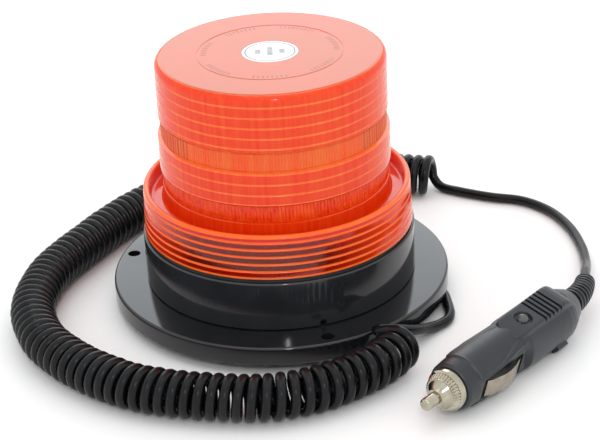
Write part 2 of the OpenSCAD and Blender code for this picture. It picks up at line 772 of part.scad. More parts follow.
module centre_pin() {
  r = pin_d / 2;
  color("#cfcbbb") on_plug() turned(concat([[0, 0]],
    [for (a = [0:18:90]) [1.2 - 1.2 * cos(a), r - 1.2 + 1.2 * sin(a)]],
    [[pin_flange_x[0] + 0.05, r], [pin_flange_x[0] + 0.05, 3.9], [pin_flange_x[1], 3.9],
     [pin_flange_x[1], 2], [pin_flange_x[1] + 6, 2], [pin_flange_x[1] + 6, 0]]));
}

module side_contact(side) {
  bend = leaf_bend;
  color("#bdb3a4") on_plug() scale_side(side) intersection() {
    translate([leaf_mid, leaf_peak - bend, -leaf_w / 2]) difference() {
      cylinder(h = leaf_w, r = bend, $fn = 180);
      translate([0, 0, -cut]) cylinder(h = leaf_w + 2 * cut, r = bend - leaf_t, $fn = 180);
    }
    translate([leaf_x[0], 0, -leaf_w]) cube([leaf_x[1] - leaf_x[0], 20, 2 * leaf_w]);
  }
}

module side_contact_left() { side_contact(1); }
module side_contact_right() { side_contact(-1); }

module indicator_board() {
  color("#1f5b3a") on_plug() translate([indicator_x - 2.5, -indicator_board_w / 2,
    indicator_board_top - indicator_board_t]) cube([20, indicator_board_w, indicator_board_t]);
}

module indicator_lens() {
  h = pad_z - 1.6 - indicator_board_top;
  color("#dfe9df") on_plug() translate([indicator_x, 0, indicator_board_top]) union() {
    cylinder(h = h, r = indicator_r);
    translate([0, 0, h]) intersection() {
      sphere(r = indicator_r);
      cylinder(h = indicator_r, r = indicator_r);
    }
  }
}

// tapered ribbed boot that bends with the cord
module cable_boot() {
  pitch = boot_len / boot_rings;
  color("#26292c") union() {
    on_plug() turned([[plug_len - 8, 0], [plug_len - 8, boot_shell_r - 0.05], [plug_len, boot_shell_r - 0.05],
      [plug_len, 0]]);
    for (i = [0:boot_rings - 1]) boot_ring(i * pitch, pitch, i / boot_rings);
  }
}

// one length of the boot: a core with a raised rib round its middle
module boot_ring(s, pitch, taper) {
  r = (boot_d + (boot_end_d - boot_d) * taper) / 2;
  translate(boot_at(s)) rotate([0, 0, boot_heading(s + pitch / 2)])
    rotate([0, 90 + atan2(boot_drop, boot_len), 0]) union() {
      translate([0, 0, -0.3]) cylinder(h = pitch + (s > boot_len - 1.5 * pitch ? 0.3 : 0.6), r = r - 0.8);
      translate([0, 0, pitch * 0.2]) cylinder(h = pitch * 0.6, r = r);
    }
}

base_disc();
foot_pad();
ring_magnet();
pole_plate();
base_screws();
cord_grommet();
housing();
floor_grommet();
locking_screw();
lens_seal();
carrier_plate();
lens_screws();
amber_lens();
rating_label();
led_tower();
led_boards();
side_leds();
tower_cap();
top_leds();
tower_screws();
control_board();
standoffs();
board_screws();
capacitors();
inductor();
transistors();
driver_chips();
terminal_block();
lead_base();
cord_coil();
lead_plug();
plug_shell_upper();
plug_shell_lower();
plug_screw();
contact_carrier();
fuse_glass();
fuse_caps();
pin_spring();
nose_cap();
centre_pin();
side_contact_left();
side_contact_right();
indicator_board();
indicator_lens();
cable_boot();
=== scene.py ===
"""Amber LED warning beacon on a magnetic base, with a curly cord and a 12 volt lighter plug.

Shape functions work in millimetres; points become metres when a mesh is made.
"""

import math

import bmesh
import bpy
import numpy as np
from mathutils import Matrix, Vector


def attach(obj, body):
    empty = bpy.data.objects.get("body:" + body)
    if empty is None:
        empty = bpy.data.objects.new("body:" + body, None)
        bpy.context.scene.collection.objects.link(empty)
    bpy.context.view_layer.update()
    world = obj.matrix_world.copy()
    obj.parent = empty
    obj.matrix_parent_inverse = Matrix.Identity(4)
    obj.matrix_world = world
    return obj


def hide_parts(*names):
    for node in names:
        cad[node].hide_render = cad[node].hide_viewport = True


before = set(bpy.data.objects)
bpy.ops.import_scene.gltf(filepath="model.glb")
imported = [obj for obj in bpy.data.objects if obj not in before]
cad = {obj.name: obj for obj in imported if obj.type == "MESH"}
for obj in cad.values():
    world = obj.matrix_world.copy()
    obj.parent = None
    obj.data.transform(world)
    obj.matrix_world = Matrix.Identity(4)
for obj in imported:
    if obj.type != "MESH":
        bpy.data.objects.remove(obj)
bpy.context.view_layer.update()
MM = 0.001
TAU = 2 * np.pi


# ---- camera ----

def make_camera():
    """Camera at (0, -728.4, 398.4) mm, rolled a little, with columns right, up and back."""
    data = bpy.data.cameras.new("camera")
    data.sensor_width = 36
    data.lens = 113.51
    data.clip_start = 0.05
    camera = bpy.data.objects.new("camera", data)
    bpy.context.scene.collection.objects.link(camera)
    right = Vector((0.99854, -0.03369, -0.04233))
    back = Vector((-0.01119, -0.89412, 0.44770)).normalized()
    right = (right - back * right.dot(back)).normalized()
    turn = Matrix((right, back.cross(right), back)).transposed()
    camera.matrix_world = Matrix.Translation((0, -0.7284, 0.3984)) @ turn.to_4x4()
    bpy.context.scene.camera = camera


make_camera()


# ---- meshes ----

def mesh_piece(name, points, faces, sharp):
    """An object at the origin from points in mm, faces outwards, smooth up to the angle sharp."""
    mesh = bpy.data.meshes.new(name)
    mesh.from_pydata((np.asarray(points) * MM).tolist(), [], faces)
    work = bmesh.new()
    work.from_mesh(mesh)
    bmesh.ops.recalc_face_normals(work, faces=work.faces)
    work.to_mesh(mesh)
    work.free()
    mesh.shade_smooth()
    mesh.set_sharp_from_angle(angle=math.radians(sharp))
    piece = bpy.data.objects.new(name, mesh)
    bpy.context.scene.collection.objects.link(piece)
    return piece


def grid_faces(rows, cols, ring=False):
    """Quads between neighbours of a rows x cols grid whose last column meets its first.
    ring joins the last row to the first too."""
    at = np.arange(rows * cols).reshape(rows, cols)
    low, high = (at, np.roll(at, -1, axis=0)) if ring else (at[:-1], at[1:])
    quads = np.stack([low, np.roll(low, -1, axis=1), np.roll(high, -1, axis=1), high], axis=-1)
    return quads.reshape(-1, 4).tolist()


def capped(name, grid, sharp):
    """Rows of points joined to a tube; a point at the middle of each end row closes it."""
    rows, cols = grid.shape[:2]
    points = np.vstack([grid.reshape(-1, 3), grid[0].mean(0), grid[-1].mean(0)])
    turn = np.arange(cols)
    ends = []
    for middle, row in ((rows * cols, 0), (rows * cols + 1, rows - 1)):
        at = row * cols
        ends += np.stack([np.full(cols, middle), at + turn, at + (turn + 1) % cols], axis=1).tolist()
    return mesh_piece(name, points, grid_faces(rows, cols) + ends, sharp)


def turned_grid(profile, turn, swell=None):
    """Points at radius r and height z of each profile pair, for every angle in turn.
    swell(r, z, angle) is added to the radius."""
    profile = np.asarray(profile, float)
    r, z, angle = profile[:, :1], profile[:, 1:], turn[None, :]
    wide = r + (swell(r, z, angle) if swell else 0 * angle)
    return np.stack([wide * np.cos(angle), wide * np.sin(angle), z + 0 * angle], axis=-1)


def through(points, steps):
    """The smooth curve through points: on each stretch the cubic whose slope at a point is half
    the step between that point's two neighbours."""
    p = np.asarray(points, float)
    k = np.arange(len(p) - 1)
    a, b, c, d = (p[i][:, None] for i in (np.maximum(k - 1, 0), k, k + 1, np.minimum(k + 2, len(p) - 1)))
    u = (np.arange(steps) / steps)[None, :, None]
    curve = b + 0.5 * u * (c - a + u * (2 * a - 5 * b + 4 * c - d + u * (3 * (b - c) + d - a)))
    return np.vstack([curve.reshape(-1, p.shape[1]), p[-1:]])


def length_so_far(line):
    """Distance along a line of points, from its first."""
    return np.concatenate([[0], np.cumsum(np.linalg.norm(np.diff(line, axis=0), axis=1))])


def even(line, step):
    """The same line with its points about step apart."""
    s = length_so_far(line)
    at = np.linspace(0, s[-1], int(round(s[-1] / step)) + 1)
    return np.stack([np.interp(at, s, line[:, k]) for k in range(line.shape[1])], axis=1)


def unit(v):
    """Each vector divided by its own length."""
    return v / np.linalg.norm(v, axis=-1, keepdims=True)


def tube_grid(line, radius, up, sides):
    """Circles of the given radii about the points of a line, square to its direction.
    up is a vector for each point that is never along the line."""
    ahead = unit(np.gradient(line, axis=0))
    side = unit(np.cross(ahead, up))
    top = np.cross(side, ahead)
    angle = np.arange(sides) * TAU / sides
    reach = np.cos(angle)[None, :, None] * side[:, None] + np.sin(angle)[None, :, None] * top[:, None]
    return line[:, None] + np.reshape(radius, (-1, 1, 1)) * reach


# ---- cord ----

CORD = 4.4                 # diameter
COIL_R = 7.5               # from the coil's middle line to the cord's
LEAD_Z = CORD / 2 + 0.05   # height of the plain lead's middle line
COIL_Z = 9.75              # height of the coil's middle line
PER_TURN = 26              # points round each turn of the coil
LEAD_STEP = 1.6            # between points of the plain leads
PLUG_TIP = np.array([51.4, -119.1, 11.65])
PLUG_HEADING = 47.4        # degrees from +x toward +y
PLUG_LEN = 97.0            # from the pin's tip to the shell's end
BOOT_LEN = 29.5            # length of the bend behind the plug
BOOT_TURN = 36             # degrees that it turns to the left
BOOT_DROP = 1.7            # how far it comes down
BOOT_END = 24.5            # where the boot ends and the bare cord goes on
BOOT_WIDE = 5.9            # the boot's radius at the plug
BOOT_NARROW = 4.3          # its radius at its end
BOOT_WAVES = 9.5           # ribs and grooves along it
base_route = [
    [43, -51, LEAD_Z], [50.5, -40, LEAD_Z], [57, -29.5, LEAD_Z], [59.8, -22.5, LEAD_Z],
    [60.6, -16.8, LEAD_Z], [62.4, -13.2, LEAD_Z], [65.6, -11.7, LEAD_Z], [68.5, -13.6, LEAD_Z],
    [69.7, -17.6, LEAD_Z], [70, -22, LEAD_Z], [70.3, -27.5, LEAD_Z], [70.2, -33, LEAD_Z], [68.6, -38, LEAD_Z],
    [64.5, -42.5, 2.6], [59.5, -47.5, 4.2], [54.5, -53.5, 7.2], [50, -57.8, 9.8],
    [45.4, -60.7, 12], [41.4, -62, 13.2], [38.4, -63.3, 14], [37.2, -65.8, 14.9],
    [39.2, -67.9, 15.8]]
coil_route = [
    [46, -70.5], [41.5, -77.5], [35.5, -84], [24.5, -92.5], [9.5, -100.5], [-8, -104], [-26, -102],
    [-44, -97.5], [-59, -91.5], [-69.5, -84.5], [-80, -75.5], [-90.5, -63.5], [-100, -48],
    [-106, -25], [-104, -2], [-98.5, 15], [-87.5, 35], [-75, 55.5], [-60, 74], [-40, 89],
    [-15, 98.5], [12, 101.5], [40, 97.5], [63, 91], [74, 88.5]]
plug_route = [
    [79, 90.5, LEAD_Z], [87.5, 84, LEAD_Z], [101, 76.5, LEAD_Z],
    [115.5, 70.5, LEAD_Z], [126.5, 58, LEAD_Z], [132.8, 40.5, LEAD_Z], [135, 21, LEAD_Z],
    [134.2, 6, 3.4], [132.6, -4, 5.6], [130.8, -13, 8.4]]


def boot_line(at):
    """Points of the cable boot's middle line at distances at from the shell's end.
    Its heading turns evenly by BOOT_TURN over BOOT_LEN, and it comes down by BOOT_DROP."""
    fine = np.linspace(0, BOOT_LEN, 400)
    heading = np.radians(PLUG_HEADING + BOOT_TURN * (fine[:-1] + fine[1:]) / 2 / BOOT_LEN)
    step = fine[1] - fine[0]
    x = np.concatenate([[0], np.cumsum(np.cos(heading)) * step])
    y = np.concatenate([[0], np.cumsum(np.sin(heading)) * step])
    heading0 = math.radians(PLUG_HEADING)
    before = np.minimum(at, 0)
    start = PLUG_TIP + PLUG_LEN * np.array([math.cos(heading0), math.sin(heading0), 0])
    return np.stack([
        start[0] + np.interp(at, fine, x) + before * math.cos(heading0),
        start[1] + np.interp(at, fine, y) + before * math.sin(heading0),
        start[2] - BOOT_DROP * np.maximum(at, 0) / BOOT_LEN], axis=1)


def coil_line():
    """The cord's middle line through the coil, and the coil's direction at each point: the cord
    circles the coil's own middle line at COIL_R, left-handed. It starts 25 degrees before the top
    on the disc's side and ends past the outer side. The pitch is widest where the lead joins,
    falls smoothly toward the left, opens again at the far end and wavers a little."""
    fine = through(coil_route, 40)
    s = length_so_far(fine)
    share = s / s[-1]
    pitch = 4.95 - 0.4 / (1 + np.exp(-(share - 0.33) / 0.03)) + 1.1 * np.exp(-share / 0.08)
    pitch = pitch + 0.5 / (1 + np.exp(-(share - 0.965) / 0.01))
    pitch = pitch + 0.07 * np.sin(share * 71) * np.exp(-share * 6)
    turns = np.concatenate([[0], np.cumsum(np.diff(s) * 2 / (pitch[1:] + pitch[:-1]))])
    first_angle = 115          # degrees up from the outer side
    last_turn = 145            # degrees past the last whole turn
    total = math.floor(turns[-1]) + last_turn / 360
    turns *= total / turns[-1]
    at = np.linspace(0, total, int(total * PER_TURN) + 1)
    x, y = (np.interp(at, turns, fine[:, k]) for k in (0, 1))
    ahead = unit(np.gradient(fine, axis=0))
    ahead = unit(np.stack([np.interp(at, turns, ahead[:, k]) for k in (0, 1)], axis=1))
    phase = math.radians(first_angle) - TAU * at
    wobble = 1 - 0.012 * (1 + np.sin(at * 2.3) * np.cos(at * 0.9))
    out, lift = COIL_R * wobble * np.cos(phase), COIL_R * wobble * np.sin(phase)
    line = np.stack([x - ahead[:, 1] * out, y + ahead[:, 0] * out, COIL_Z + lift], axis=1)
    return line, np.column_stack([ahead, 0 * at])


def make_cord():
    """One tube of round section from the grommet, through the coil, to the cable boot. Each lead's
    curve runs on over three points of the coil, so that it meets it in line, and is then cut."""
    coil, ahead = coil_line()
    steps = 8
    first = through(base_route + [coil[0], coil[2], coil[5]], steps)[:-2 * steps]
    into_boot = boot_line(np.array([BOOT_LEN, BOOT_END - 1])).tolist()
    last = through([coil[-5], coil[-3], coil[-1]] + plug_route + into_boot, steps)[2 * steps:]
    first, last = even(first, LEAD_STEP), even(last, LEAD_STEP)
    line = np.vstack([first[:-1], coil, last[1:]])
    upright = np.array([0, 0, 1.0])
    before, after = len(first) - 1, len(last) - 1
    in_coil = np.concatenate([np.zeros(before), np.ones(len(coil)), np.zeros(after)])
    blend = np.convolve(np.pad(in_coil, 4, mode="edge"), np.ones(9) / 9, mode="valid")[:, None]
    axis = np.vstack([np.repeat(ahead[:1], before, 0), ahead, np.repeat(ahead[-1:], after, 0)])
    up = blend * axis + (1 - blend) * upright
    grid = tube_grid(line, np.full(len(line), CORD / 2), up, 12)
    return capped("curly_cord", grid, sharp=60), line


cord, cord_line = make_cord()
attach(cord, "base")
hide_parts("lead_base", "cord_coil", "lead_plug")


def make_boot():
    """Bent, tapered boot: its radius falls evenly along it, less a groove's depth between ribs
    that follow a sine. It reaches 4 mm into the plug, and its end is rounded."""
    at = np.linspace(-4, BOOT_END, 230)
    taper = np.interp(at, [0, BOOT_END], [BOOT_WIDE, BOOT_NARROW])
    wave = np.clip(0.5 + 1.6 * np.sin(TAU * at / BOOT_END * BOOT_WAVES - 0.6), 0, 1)
    wave = wave * wave * (3 - 2 * wave)
    radius = np.where(at < 0, BOOT_WIDE, taper - 0.85 * (1 - wave))
    radius[-3:] = radius[-3:] * [1, 0.96, 0.86]
    grid = tube_grid(boot_line(at), radius, np.array([[0, 0, 1.0]]), 40)
    return capped("ribbed_boot", grid, sharp=50)


boot = make_boot()
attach(boot, "base")
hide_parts("cable_boot")


# ---- plug ----

# Distances along the plug are from its pin's tip; radii are from its axis.
SHELL_FROM = 16.0          # front edge of the shell
LEAF_MID = 38.4            # middle of both side contacts
LEAF_HALF = 11.0           # half a contact's length
LEAF_W, LEAF_T = 8.0, 0.6
FLAT_R = 9.3               # the flats that the contacts stand on
SLOT_HALF, SLOT_W, SLOT_FLOOR = 12.9, 9.9, 6.6
GROOVES = [67.5 + 2.6 * k for k in range(5)]
GROOVE_W, GROOVE_DEEP = 1.2, 0.95
LAMP_X, LAMP_RIM, LAMP_WELL = 61.0, 3.6, 2.6
GRIP_R = 11.6
KEY_FROM, KEY_TO, KEY_HALF, KEY_R = 77.0, 83.0, 2.0, 13.15
KEY_ANGLE = 215            # degrees from the left side toward the top
SCREW_X, SCREW_WELL, SCREW_FLOOR = 74.0, 2.95, 8.9
# Rows: along the plug from tip to cord, to its left, and up through its thumb pad.
PLUG_AXES = np.array([[0.6769, 0.7361, 0], [-0.7110, 0.6538, 0.2588], [0.1905, -0.1752, 0.9659]])


def on_plug(x, radius, angle):
    """Points round the plug's axis: x from the pin's tip, angle from its left side toward its top."""
    local = np.stack([x + 0 * angle, radius * np.cos(angle), radius * np.sin(angle)], axis=-1)
    return PLUG_TIP + local @ PLUG_AXES


def rise(value, low, high):
    """0 below low and 1 above high, with a smooth slope between them."""
    u = np.clip((value - low) / (high - low), 0, 1)
    return u * u * (3 - 2 * u)


def shell_radius(x, angle):
    """The plug shell's radius: a tapered nose with flat sides for the contacts, a thicker grip, a
    thumb pad with five grooves and a lamp well, a key low on the right and a screw well below.
    Each feature raises or replaces the radius where it lies; side is the angle in degrees from the
    nearer contact, and the pad's section is a rounded box."""
    body = np.interp(x, [16, 17, 22, 52, 57, 84, 88, 93, 97],
                     [9.2, 9.9, 10.45, 10.45, 11.5, GRIP_R, 11.1, 9.0, 7.2])
    side = np.degrees(np.arccos(np.clip(np.abs(np.cos(angle)), 0, 1)))
    step = 22.3 + 6 * np.clip((38 - side) / 20, 0, 1)
    r = body + 0.5 * rise(x, step, step + 0.6) * (1 - rise(x, 52, 57))
    r = r + 0.22 * np.exp(-((x - step - 0.5) / 0.45) ** 2) * (x < 30)
    flat = FLAT_R / np.maximum(np.cos(np.radians(side)), 0.3)
    r = r - np.maximum(r - flat, 0) * rise(x, 22.6, 25) * (1 - rise(x, 54.6, 56.4))
    # raised lines above and below each contact, that part from it toward the cord
    on_side = rise(x, 24, 27) * (1 - rise(x, 52, 56))
    for near, far, high in ((33, 44, 0.42), (40, 62, 0.3)):
        at = near + (far - near) * rise(x, 34, 52)
        r = r + high * on_side * np.exp(-((side - at) * 0.19 / 0.62) ** 2)
    # the joint line round the shoulder
    r = r - 0.25 * np.exp(-((x - 88.3) / 0.3) ** 2)
    up, across = np.maximum(np.sin(angle), 0.02), np.cos(angle)
    top = np.interp(x, [50, 54, 58, 66, 79, 82, 84.5, 87, 89.5, 92],
                    [10.7, 11.35, 11.9, 12.3, 12.9, 13.0, 12.6, 11.4, 9.6, 7])
    for at in GROOVES:
        top = top - GROOVE_DEEP * ((x > at) & (x < at + GROOVE_W))
    half = 6.8 - 3.5 * (1 - np.sqrt(np.clip(1 - ((54.5 - x) / 4.5).clip(0, 1) ** 2, 0, 1)))
    pad = ((up / top) ** 16 + np.abs(across / half) ** 16) ** (-1 / 16)
    over = (x > 50) & (x < 92) & (np.sin(angle) > 0.3)
    r = np.where(over, np.maximum(r, pad), r)
    well = np.hypot(x - LAMP_X, top * across / up)
    r = np.where(over & (well < LAMP_RIM), 11.15 / up, r)
    r = np.where(over & (well < LAMP_WELL), 7.5 / up, r)
    turn = np.angle(np.exp(1j * (angle - math.radians(KEY_ANGLE))))
    aside = GRIP_R * np.sin(turn)
    key_end = KEY_TO + np.sqrt(np.clip(KEY_HALF ** 2 - aside ** 2, 0, KEY_HALF ** 2))
    on_key = (np.abs(aside) < KEY_HALF) & (np.cos(turn) > 0) & (x > KEY_FROM) & (x < key_end)
    r = np.where(on_key, KEY_R, r)
    below = np.hypot(x - SCREW_X, 11 * np.cos(angle))
    r = np.where((np.sin(angle) < 0) & (below < SCREW_WELL), SCREW_FLOOR, r)
    beside = np.abs(FLAT_R * np.tan(np.radians(side)))
    slot = (np.abs(x - LEAF_MID) < SLOT_HALF) & (beside < SLOT_W / 2) & (side < 40)
    return np.where(slot, SLOT_FLOOR, r)


def make_plug_shell():
    """A grid of that radius along the shell and a full turn, with a bore in front for the nose
    cap. Two rows stand close together at each sharp edge."""
    edges = [LEAF_MID - SLOT_HALF, LEAF_MID + SLOT_HALF, KEY_FROM]
    edges = np.array(edges + [at + d for at in GROOVES for d in (0, GROOVE_W)])
    x = np.sort(np.concatenate([np.linspace(SHELL_FROM, PLUG_LEN, 200), edges - 0.02, edges + 0.02]))
    angle = (np.arange(240) + 0.5) * TAU / 240
    radius = shell_radius(x[:, None], angle[None, :])
    bore_r, bore_end = 6.1, 23.2
    x = np.concatenate([[bore_end, SHELL_FROM], x])[:, None]
    radius = np.vstack([np.full((2, 240), bore_r), radius])
    return capped("plug_shell", on_plug(x, radius, angle[None, :]), sharp=28)


plug_shell = make_plug_shell()
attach(plug_shell, "base")
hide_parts("plug_shell_upper", "plug_shell_lower")


def make_knurl():
    """A ring of 36 rounded teeth round the nose cap. Each row of it is at a distance along the
    plug, with a radius to which a share of the tooth's height, the size of a sine, is added."""
    teeth, deep = 36, 0.55
    angle = np.arange(480) * TAU / 480
    tooth = deep * np.abs(np.sin(angle * teeth / 2))
    rows = [(10.2, 5.7, 0), (10.2, 6.35, 0.4), (10.5, 6.6, 1),
            (12.6, 7.45, 1), (12.9, 7.45, 0.6), (12.9, 7.0, 0)]
    grid = np.stack([on_plug(np.full(480, x), r + share * tooth, angle) for x, r, share in rows])
    return mesh_piece("knurled_ring", grid.reshape(-1, 3), grid_faces(len(rows), 480, ring=True), 25)


knurl = make_knurl()
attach(knurl, "nose_cap")


def make_leaf(name, side, end, bow):
    """A side contact: a bowed strip, on the left for side 1 and the right for -1. Its outer face's
    distance from the plug's axis is end, plus bow times one minus the square of the share of the
    way from its middle to its end."""
    share = np.linspace(-1, 1, 61)
    outer = end + bow * (1 - share ** 2)
    rows = [(0, -1), (0, 1), (LEAF_T, 1), (LEAF_T, -1)]
    grid = np.stack([np.stack([LEAF_MID + LEAF_HALF * share, side * (outer - under),
                               np.full(61, edge * side * LEAF_W / 2)], axis=-1)
                     for under, edge in rows], axis=1)
    return capped(name, PLUG_TIP + grid @ PLUG_AXES, sharp=40)


left_leaf = make_leaf("left_leaf", 1, 9.35, 1.6)
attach(left_leaf, "left_contact")
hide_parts("side_contact_left")
right_leaf = make_leaf("right_leaf", -1, 9.5, 2.75)
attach(right_leaf, "right_contact")
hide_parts("side_contact_right")


# ---- lens ----

LENS_Z = 35.9              # underside of the collar
LENS_TOP = 112.0
COLLAR_TOP = 55.2
COLLAR_IN = 54.9           # the collar's inner radius
MOAT_Z = 49.2              # floor of the moat between dome and collar
MOAT_UNDER = 46.8          # underside of that floor
MOAT_OUT = 54.2
DOME_R = 48.1
TIER_R = 48.8
BAND_R = 47.4
WALL_IN = 45.0             # the wall's inner radius
CEILING = 109.6            # the inside of the flat top
UPPER_BAND = (87.7, 78.6)  # upper and lower edge of the upper band of flutes
TIER_LOW = 64.8            # upper edge of the lower band
FOOT_BAND = 56.3           # its lower edge
upper_rings = [LENS_TOP - 4.9 - 4.45 * i for i in range(5)]
middle_rings = [UPPER_BAND[1] - 4.6 * i for i in (1, 2)]
collar_rings = [COLLAR_TOP - 2.9 - 3.2 * i for i in range(5)]


def arc(cx, cz, r, start, end, steps=8):
    """Points of a circle's arc in the profile plane, from one angle in degrees to another."""
    a = np.radians(np.linspace(start, end, steps))
    return np.stack([cx + r * np.cos(a), cz + r * np.sin(a)], axis=1).tolist()


def groove(r, z, wide=0.9, deep=0.4):
    """A rounded groove at height z, from its upper edge to its lower edge."""
    u = np.linspace(-1, 1, 7)
    return np.stack([r - deep * (1 - u * u), z - u * wide / 2], axis=1).tolist()


def collar_at(z):
    """The collar's outer radius, which leans in evenly toward its rim."""
    return 56.8 + 0.7 * (COLLAR_TOP - z) / 19.3


def lens_profile():
    """The lens wall as one closed line of radius and height: outside from the top's middle down,
    over the moat and the collar, then up the inside. Also the finish of each stretch that follows
    a point: 0 dome, 1 ring edge with a painted highlight, 2 top, 3 collar and moat, 4 collar ring
    with a painted highlight."""
    line, kinds = [], []

    def go(points, kind):
        line.extend(points)
        kinds.extend([kind] * len(points))

    sunk, mark = 11.9, 0.63 * DOME_R       # radii of the sunk middle and of the fine ring groove
    go([[0.02, LENS_TOP - 0.2], [sunk, LENS_TOP - 0.2], [sunk, LENS_TOP], [12.2, LENS_TOP],
        [mark - 0.5, LENS_TOP], [mark - 0.3, LENS_TOP], [mark, LENS_TOP - 0.14], [mark + 0.3, LENS_TOP],
        [mark + 0.5, LENS_TOP], [44.9, LENS_TOP]], 2)
    go(arc(DOME_R - 3, LENS_TOP - 3, 3, 90, 70, 4), 2)
    kinds[-1] = 1
    go(arc(DOME_R - 3, LENS_TOP - 3, 3, 62, 0, 8), 0)
    for z in upper_rings:
        go(groove(DOME_R, z, 0.9, 0.22), 1)
        kinds[-1] = 0
    go([[DOME_R, UPPER_BAND[0] + 0.6]], 0)
    go([[DOME_R, UPPER_BAND[0] + 0.1], [BAND_R - 0.25, UPPER_BAND[0] - 0.5],
        [BAND_R - 0.25, UPPER_BAND[1] + 0.5], [TIER_R - 0.1, UPPER_BAND[1]],
        [TIER_R, UPPER_BAND[1] - 0.5]], 1)
    kinds[-1] = 0
    for z in middle_rings:
        go(groove(TIER_R, z, 0.9, 0.22), 1)
        kinds[-1] = 0
    go([[TIER_R, TIER_LOW + 0.6]], 1)
    go([[TIER_R, TIER_LOW + 0.1], [DOME_R - 0.6, TIER_LOW - 0.5], [DOME_R - 0.6, FOOT_BAND + 0.4],
        [DOME_R, FOOT_BAND], [DOME_R, FOOT_BAND - 0.5]], 0)
    go(arc(DOME_R + 1.5, MOAT_Z + 1.5, 1.5, 180, 270), 0)
    go(arc(MOAT_OUT - 1.5, MOAT_Z + 1.5, 1.5, 270, 360), 3)
    go(arc(55.5, COLLAR_TOP - 1.3, 1.3, 180, 0, 16), 4)
    for z in collar_rings:
        kinds[-1] = 3
        go(groove(collar_at(z), z, 1.2, 0.5), 4)
    kinds[-1] = 3
    go([[57.4, LENS_Z + 1.2]], 4)
    go([[57.5, LENS_Z + 0.3], [57.2, LENS_Z]], 3)
    go([[COLLAR_IN, LENS_Z], [COLLAR_IN, MOAT_UNDER]], 3)
    go([[WALL_IN, z] for z in (MOAT_UNDER, 60, 80, 100, 109.1)], 0)
    go([[WALL_IN - 0.5, CEILING], [0.02, CEILING]], 0)
    return line, kinds


def make_lens():
    """The lens wall turned about its axis; each stretch's finish is its faces' material number.
    The faces that close its two ends at the middle of the top come last: 2 outside, 0 inside."""
    steps = 288
    turn = np.arange(steps) * TAU / steps
    line, kinds = lens_profile()
    made = capped("lens_shell", turned_grid(line, turn), sharp=34)
    number = np.concatenate([np.repeat(kinds[:-1], steps), np.full(steps, 2), np.zeros(steps)])
    made.data.polygons.foreach_set("material_index", number.astype(np.int32))
    return made


lens = make_lens()


def flute_band(name, radius, high, low, count, deep):
    """A ring of convex flutes: the radius grows by deep times the sine's size, so that a sharp
    valley lies between neighbours. Its inner side is plain."""
    turn = np.arange(count * 6) * TAU / (count * 6)
    profile = [[radius - 1.2, high], [radius - 0.35, high], [radius, high - 0.35],
               [radius, low + 0.35], [radius - 0.35, low], [radius - 1.2, low]]
    inner = radius - 1.0

    def swell(r, z, angle):
        return np.where(r > inner, deep * np.abs(np.sin(angle * count / 2)), 0)

    grid = turned_grid(profile, turn, swell)
    return mesh_piece(name, grid.reshape(-1, 3), grid_faces(*grid.shape[:2], ring=True), sharp=20)


upper_flutes = flute_band("upper_flutes", BAND_R - 0.15, UPPER_BAND[0] - 0.55, UPPER_BAND[1] + 0.55,
                          240, 0.28)
lower_flutes = flute_band("lower_flutes", DOME_R - 0.55, TIER_LOW - 0.55, FOOT_BAND + 0.45, 200, 0.3)
lens_pieces = [lens, upper_flutes, lower_flutes]


def make_shade_sheet():
    """A dark curved sheet of painted shade under the moat, 94 degrees wide, that the clear collar shows in
    front.
    """
    angle = np.radians(np.linspace(-137, -43, 120))
    rows = np.array([[52.6, 36.3], [53.9, 36.3], [53.9, 46.3], [52.6, 46.3]])
    grid = turned_grid(rows, angle).transpose(1, 0, 2)
    return capped("collar_shade_sheet", grid, sharp=40)


shade_sheet = make_shade_sheet()
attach(shade_sheet, "head")
for piece in lens_pieces:
    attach(piece, "head")
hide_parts("amber_lens")


# ---- materials ----

def linear(code):
    """An sRGB hex colour as linear red, green, blue and 1."""
    value = np.array([int(code[i:i + 2], 16) for i in (1, 3, 5)]) / 255
    value = np.where(value <= 0.04045, value / 12.92, ((value + 0.055) / 1.055) ** 2.4)
    return (*value.tolist(), 1.0)


def add(tree, kind, inputs=None, **settings):
    """Adds a node: settings are its properties; inputs maps socket to a value or a socket."""
    made = tree.nodes.new("ShaderNode" + kind)
    for key, value in settings.items():
        setattr(made, key, value)
    for key, value in (inputs or {}).items():
        if isinstance(value, bpy.types.NodeSocket):
            tree.links.new(value, made.inputs[key])
        else:
            made.inputs[key].default_value = value
    return made


def blank(name):
    """A new material's tree, with its output and the object coordinates."""
    material = bpy.data.materials.new(name)
    material.use_nodes = True
    tree = material.node_tree
    tree.nodes.clear()
    out = add(tree, "OutputMaterial")
    place = add(tree, "TexCoord").outputs["Object"]
    return material, tree, out, place


def ramp(tree, value, low, high, a=0.0, b=1.0):
    """Maps a value from low..high to a..b, held at both ends."""
    return add(tree, "MapRange", {"Value": value, "From Min": low, "From Max": high, "To Min": a,
                                  "To Max": b}).outputs["Result"]


def blend_colour(tree, share, a, b):
    """Colour a mixed toward colour b by share."""
    return add(tree, "Mix", {0: share, 6: a, 7: b}, data_type="RGBA").outputs[2]


def maths(tree, kind, a, b=0.0, c=0.0):
    """One arithmetic step on values or sockets."""
    return add(tree, "Math", {0: a, 1: b, 2: c}, operation=kind).outputs[0]


def noise(tree, place, scale, detail=2.0, roughness=0.5):
    """Smooth noise of 0 to 1, with about scale patches to the metre."""
    return add(tree, "TexNoise", {"Vector": place, "Scale": scale, "Detail": detail,
                                  "Roughness": roughness}).outputs["Fac"]


def bump(tree, height, strength, distance):
    """The normals of a surface that a height raises."""
    return add(tree, "Bump", {"Height": height, "Strength": strength,
                              "Distance": distance}).outputs["Normal"]


def surface(tree, out, inputs):
    """A principled shader with these inputs, joined to the output."""
    shader = add(tree, "BsdfPrincipled", inputs)
    tree.links.new(shader.outputs[0], out.inputs["Surface"])


def turn_angle(tree, place):
    """The angle about the beacon's axis, in radians."""
    xyz = add(tree, "SeparateXYZ", {"Vector": place})
    return maths(tree, "ARCTAN2", xyz.outputs["Y"], xyz.outputs["X"])


